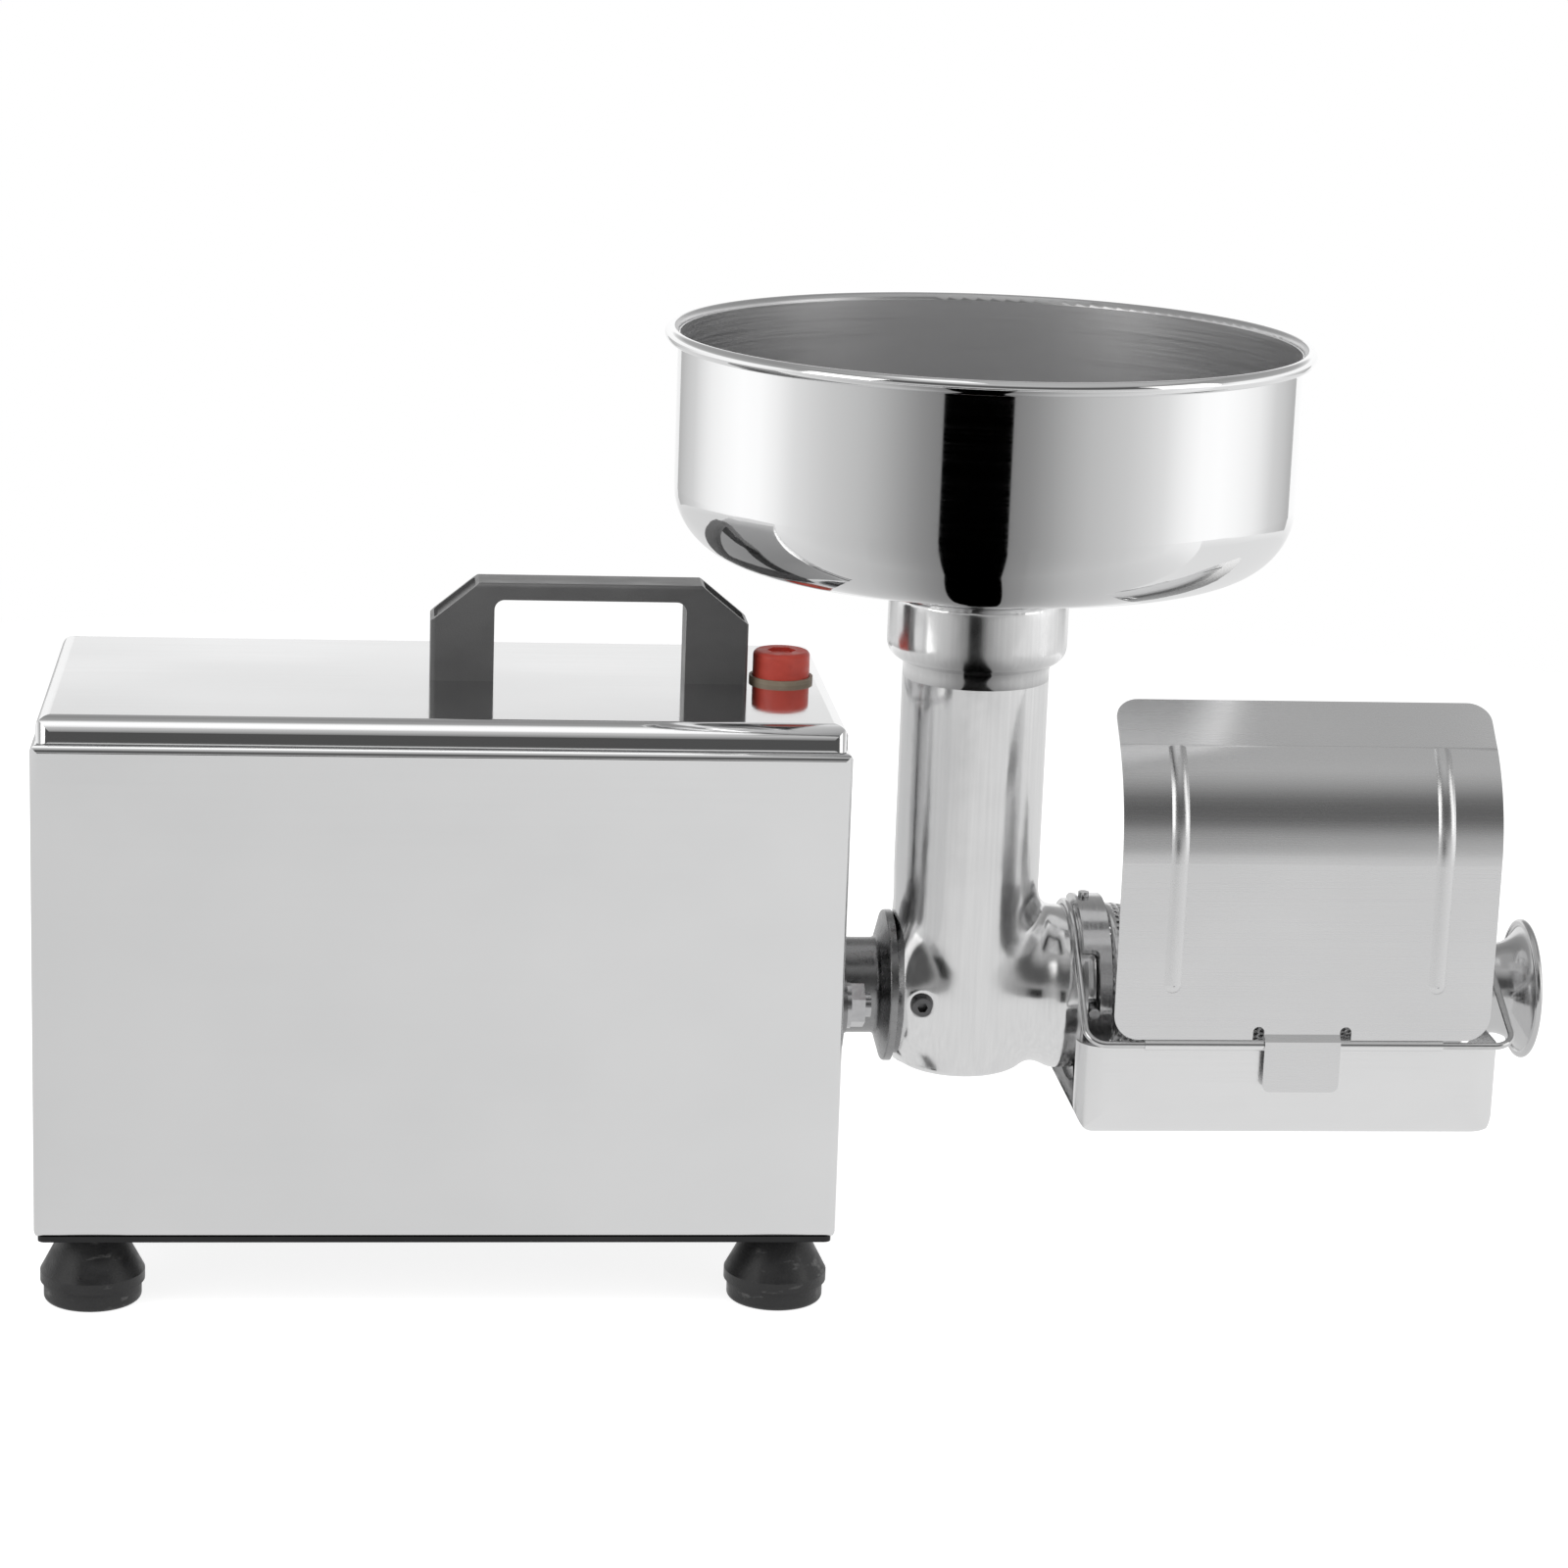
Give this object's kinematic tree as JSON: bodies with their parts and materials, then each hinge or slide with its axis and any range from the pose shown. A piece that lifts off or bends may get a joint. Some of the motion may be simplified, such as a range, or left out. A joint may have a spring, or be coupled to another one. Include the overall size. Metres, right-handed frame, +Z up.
{
  "type": "electric tomato press",
  "caption": "Electric tomato press: a sheet-steel motor box on rubber feet drives a screw through a cast head with a hopper pan, tapered strainer, drip tray and splash guard.",
  "frame": {"origin": "on the surface that the feet stand on, under the middle of the bounding box; the y=0 plane holds the axis of the head", "axes": "+X from the motor box along the head to the spout, +Y to the back, +Z up"},
  "size_m": [0.6528, 0.277, 0.4104],
  "materials": {
    "polished_sheet": "polished",
    "base_sheet": "satin",
    "foot_rubber": "satin",
    "handle_plastic": "matte",
    "black_plastic": "matte",
    "switch_ring": "satin",
    "switch_rubber": "satin",
    "zinc_steel": "polished",
    "motor_paint": "satin",
    "core_iron": "matte",
    "cast_aluminium": "matte",
    "bearing_steel": "polished",
    "shaft_steel": "satin",
    "fan_plastic": "matte",
    "capacitor_can": "satin",
    "gear_bronze": "satin",
    "polished_aluminium": "polished",
    "pan_steel": "polished",
    "auger_steel": "satin",
    "strainer_steel": "polished",
    "wire_steel": "polished",
    "tray_steel": "satin"
  },
  "bodies": {
    "housing": {"housing_shell": "polished_sheet", "lid": "polished_sheet", "base_plate": "base_sheet", "foot_front_left": "foot_rubber", "foot_front_right": "foot_rubber", "foot_rear_left": "foot_rubber", "foot_rear_right": "foot_rubber", "foot_screws": "zinc_steel", "carry_handle": "handle_plastic", "handle_screws": "zinc_steel", "switch_body": "black_plastic", "switch_collar": "switch_ring", "cable_gland": "black_plastic", "motor_casing": "motor_paint", "stator_core": "core_iron", "motor_front_bell": "cast_aluminium", "motor_rear_bell": "cast_aluminium", "motor_bearings": "bearing_steel", "fan_cover": "black_plastic", "motor_bracket": "base_sheet", "capacitor": "capacitor_can", "capacitor_clip": "base_sheet", "gearbox_case": "cast_aluminium", "gearbox_cover": "cast_aluminium", "gearbox_bolts": "zinc_steel", "layshaft_bearings": "bearing_steel", "output_bearings": "bearing_steel", "drive_neck": "polished_aluminium", "mounting_studs": "zinc_steel", "mounting_washers": "zinc_steel", "mounting_nuts": "zinc_steel", "head_body": "polished_aluminium", "lock_screw": "zinc_steel", "bayonet_pins": "zinc_steel"},
    "auger": {"auger": "auger_steel", "auger_flight": "auger_steel", "output_gear": "gear_bronze", "output_shaft": "shaft_steel"},
    "layshaft": {"layshaft": "shaft_steel", "stage_gear": "gear_bronze"},
    "rotor": {"rotor_core": "core_iron", "motor_shaft": "shaft_steel", "cooling_fan": "fan_plastic"},
    "switch": {"switch_cap": "switch_rubber"},
    "hopper": {"hopper_pan": "pan_steel", "hopper_spigot": "pan_steel"},
    "strainer": {"strainer_collar": "strainer_steel", "strainer_screen": "strainer_steel", "discharge_spout": "strainer_steel"},
    "tray_frame": {"wire_frame": "wire_steel", "drip_tray": "tray_steel"},
    "guard": {"splash_guard": "tray_steel"}
  },
  "joints": [
    {"name": "auger_spin", "type": "hinge", "parent": "housing", "child": "auger", "pos_m": [0.0106, 0, 0.122], "axis": [1, 0, 0], "continuous": true},
    {"name": "layshaft_spin", "type": "hinge", "parent": "housing", "child": "layshaft", "pos_m": [-0.0194, 0, 0.1745], "axis": [1, 0, 0], "continuous": true},
    {"name": "rotor_spin", "type": "hinge", "parent": "housing", "child": "rotor", "pos_m": [-0.0894, 0, 0.122], "axis": [1, 0, 0], "continuous": true},
    {"name": "switch_press", "type": "slide", "parent": "housing", "child": "switch", "axis": [0, 0, -1], "range_m": [0, 0.003], "stiffness_N_per_m": 600, "springref_m": -0.001},
    {"name": "hopper_lift", "type": "slide", "parent": "housing", "child": "hopper", "axis": [0, 0, 1], "range_m": [0, 0.06]},
    {"name": "strainer_turn", "type": "hinge", "parent": "housing", "child": "strainer", "pos_m": [0.1206, 0, 0.122], "axis": [1, 0, 0], "range_deg": [0, 35]},
    {"name": "tray_swing", "type": "hinge", "parent": "housing", "child": "tray_frame", "pos_m": [0.1176, 0, 0.122], "axis": [1, 0, 0], "range_deg": [-12, 12]},
    {"name": "guard_lift", "type": "slide", "parent": "tray_frame", "child": "guard", "axis": [0, 0, 1], "range_m": [0, 0.04]}
  ],
  "couplings": [
    {"joint": "layshaft_spin", "follows": "auger_spin", "ratio": -3},
    {"joint": "rotor_spin", "follows": "auger_spin", "ratio": 12}
  ]
}
